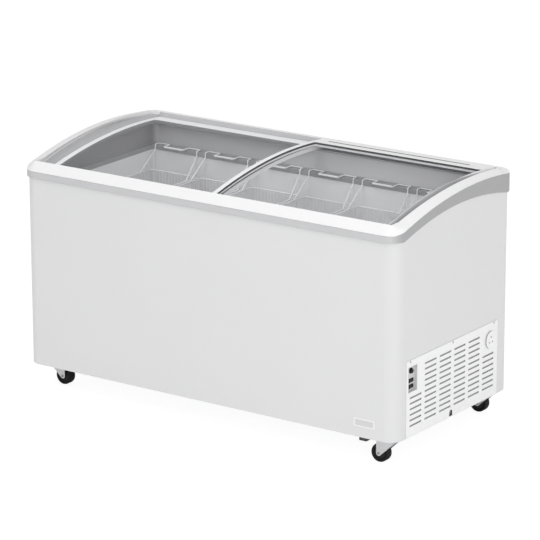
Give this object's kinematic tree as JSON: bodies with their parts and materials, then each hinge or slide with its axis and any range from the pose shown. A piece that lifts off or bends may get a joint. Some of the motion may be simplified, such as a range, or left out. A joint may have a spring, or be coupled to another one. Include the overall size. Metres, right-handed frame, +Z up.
{
  "type": "chest freezer",
  "caption": "Display chest freezer with two curved glass lids sliding over each other, hanging wire baskets, an end machine compartment behind a slotted panel, and swivel casters.",
  "frame": {"origin": "on the floor, at the centre of the footprint", "axes": "+X to the right seen from the front, towards the machine compartment; -Y is the front; +Z up"},
  "size_m": [1.544, 0.734, 0.8754],
  "materials": {
    "white_paint": "smooth satin white paint",
    "galvanised_steel": "zinc-coated sheet",
    "insulation": "rigid polyurethane foam",
    "liner_metal": "embossed aluminium",
    "inner_plastic": "satin grey moulding",
    "grey_plastic": "satin grey moulding",
    "white_plastic": "satin white moulding",
    "clear_glass": "clear curved tempered glass",
    "seal_brush": "short pile brush",
    "basket_wire": "coated steel wire",
    "pale_grey_plastic": "satin pale grey moulding",
    "black_plastic": "fine-grained black moulding",
    "black_enamel": "black enamel",
    "copper": "bright copper",
    "label_plastic": "plain printed plate",
    "caster_steel": "zinc-plated pressed steel",
    "wheel_rubber": "moulded black tread"
  },
  "bodies": {
    "cabinet": {"outer_shell": "white_paint", "rear_panel": "white_paint", "machine_grille": "white_paint", "base_pan": "galvanised_steel", "rear_cover": "galvanised_steel", "thermostat_body": "galvanised_steel", "fan_motor": "galvanised_steel", "grille_screw_1": "galvanised_steel", "grille_screw_2": "galvanised_steel", "grille_screw_3": "galvanised_steel", "foam_body": "insulation", "inner_liner": "liner_metal", "condenser": "liner_metal", "inner_surround": "inner_plastic", "trim_band": "grey_plastic", "front_rail": "grey_plastic", "rear_rail": "grey_plastic", "left_end_rail": "grey_plastic", "right_end_rail": "grey_plastic", "drain_spout": "grey_plastic", "top_collar": "white_plastic", "plug_holder": "white_plastic", "control_housing": "pale_grey_plastic", "power_cord": "black_plastic", "compressor": "black_enamel", "base_rail": "black_enamel", "filter_drier": "copper", "rating_label": "label_plastic", "caster_plate_front_right": "caster_steel", "caster_plate_rear_right": "caster_steel", "caster_plate_front_left": "caster_steel", "caster_plate_rear_left": "caster_steel"},
    "right_lid": {"right_lid_frame": "white_plastic", "right_lid_glass": "clear_glass", "centre_brush_seal": "seal_brush"},
    "left_lid": {"left_lid_frame": "white_plastic", "left_lid_glass": "clear_glass"},
    "knob": {"thermostat_knob": "black_plastic"},
    "power_rocker": {"power_switch": "black_plastic"},
    "fast_freeze_rocker": {"fast_freeze_switch": "black_plastic"},
    "fan": {"fan_blade": "black_plastic"},
    "basket_1_body": {"basket_1": "basket_wire"},
    "basket_2_body": {"basket_2": "basket_wire"},
    "basket_3_body": {"basket_3": "basket_wire"},
    "basket_4_body": {"basket_4": "basket_wire"},
    "basket_5_body": {"basket_5": "basket_wire"},
    "basket_6_body": {"basket_6": "basket_wire"},
    "swivel_front_right": {"caster_fork_front_right": "caster_steel", "caster_axle_front_right": "caster_steel"},
    "wheel_front_right": {"caster_wheel_front_right": "wheel_rubber"},
    "swivel_rear_right": {"caster_fork_rear_right": "caster_steel", "caster_axle_rear_right": "caster_steel"},
    "wheel_rear_right": {"caster_wheel_rear_right": "wheel_rubber"},
    "swivel_front_left": {"caster_fork_front_left": "caster_steel", "caster_axle_front_left": "caster_steel"},
    "wheel_front_left": {"caster_wheel_front_left": "wheel_rubber"},
    "swivel_rear_left": {"caster_fork_rear_left": "caster_steel", "caster_axle_rear_left": "caster_steel"},
    "wheel_rear_left": {"caster_wheel_rear_left": "wheel_rubber"}
  },
  "joints": [
    {"name": "right_lid_slide", "type": "slide", "parent": "cabinet", "child": "right_lid", "axis": [-1, 0, 0], "range_m": [0, 0.708]},
    {"name": "left_lid_slide", "type": "slide", "parent": "cabinet", "child": "left_lid", "axis": [1, 0, 0], "range_m": [0, 0.688]},
    {"name": "thermostat_turn", "type": "hinge", "parent": "cabinet", "child": "knob", "pos_m": [0.7563, -0.254, 0.314], "axis": [1, 0, 0], "range_deg": [0, 300]},
    {"name": "power_rock", "type": "hinge", "parent": "cabinet", "child": "power_rocker", "pos_m": [0.7563, -0.254, 0.28], "axis": [0, 0, 1], "range_deg": [-14, 0]},
    {"name": "fast_freeze_rock", "type": "hinge", "parent": "cabinet", "child": "fast_freeze_rocker", "pos_m": [0.7563, -0.254, 0.26], "axis": [0, 0, 1], "range_deg": [-14, 0]},
    {"name": "fan_spin", "type": "hinge", "parent": "cabinet", "child": "fan", "pos_m": [0.6785, -0.02, 0.222], "axis": [1, 0, 0], "continuous": true},
    {"name": "swivel_front_right_turn", "type": "hinge", "parent": "cabinet", "child": "swivel_front_right", "pos_m": [0.705, -0.301, 0.087], "axis": [0, 0, 1], "continuous": true},
    {"name": "wheel_front_right_roll", "type": "hinge", "parent": "swivel_front_right", "child": "wheel_front_right", "pos_m": [0.677, -0.301, 0.032], "axis": [0, 1, 0], "continuous": true},
    {"name": "swivel_rear_right_turn", "type": "hinge", "parent": "cabinet", "child": "swivel_rear_right", "pos_m": [0.705, 0.314, 0.087], "axis": [0, 0, 1], "continuous": true},
    {"name": "wheel_rear_right_roll", "type": "hinge", "parent": "swivel_rear_right", "child": "wheel_rear_right", "pos_m": [0.677, 0.314, 0.032], "axis": [0, 1, 0], "continuous": true},
    {"name": "swivel_front_left_turn", "type": "hinge", "parent": "cabinet", "child": "swivel_front_left", "pos_m": [-0.705, -0.259, 0.087], "axis": [0, 0, 1], "continuous": true},
    {"name": "wheel_front_left_roll", "type": "hinge", "parent": "swivel_front_left", "child": "wheel_front_left", "pos_m": [-0.677, -0.259, 0.032], "axis": [0, 1, 0], "continuous": true},
    {"name": "swivel_rear_left_turn", "type": "hinge", "parent": "cabinet", "child": "swivel_rear_left", "pos_m": [-0.705, 0.272, 0.087], "axis": [0, 0, 1], "continuous": true},
    {"name": "wheel_rear_left_roll", "type": "hinge", "parent": "swivel_rear_left", "child": "wheel_rear_left", "pos_m": [-0.677, 0.272, 0.032], "axis": [0, 1, 0], "continuous": true},
    {"name": "basket_1_lift", "type": "slide", "parent": "cabinet", "child": "basket_1_body", "axis": [0, 0, 1], "range_m": [0, 0.01]},
    {"name": "basket_2_lift", "type": "slide", "parent": "cabinet", "child": "basket_2_body", "axis": [0, 0, 1], "range_m": [0, 0.01]},
    {"name": "basket_3_lift", "type": "slide", "parent": "cabinet", "child": "basket_3_body", "axis": [0, 0, 1], "range_m": [0, 0.01]},
    {"name": "basket_4_lift", "type": "slide", "parent": "cabinet", "child": "basket_4_body", "axis": [0, 0, 1], "range_m": [0, 0.01]},
    {"name": "basket_5_lift", "type": "slide", "parent": "cabinet", "child": "basket_5_body", "axis": [0, 0, 1], "range_m": [0, 0.01]},
    {"name": "basket_6_lift", "type": "slide", "parent": "cabinet", "child": "basket_6_body", "axis": [0, 0, 1], "range_m": [0, 0.01]}
  ]
}
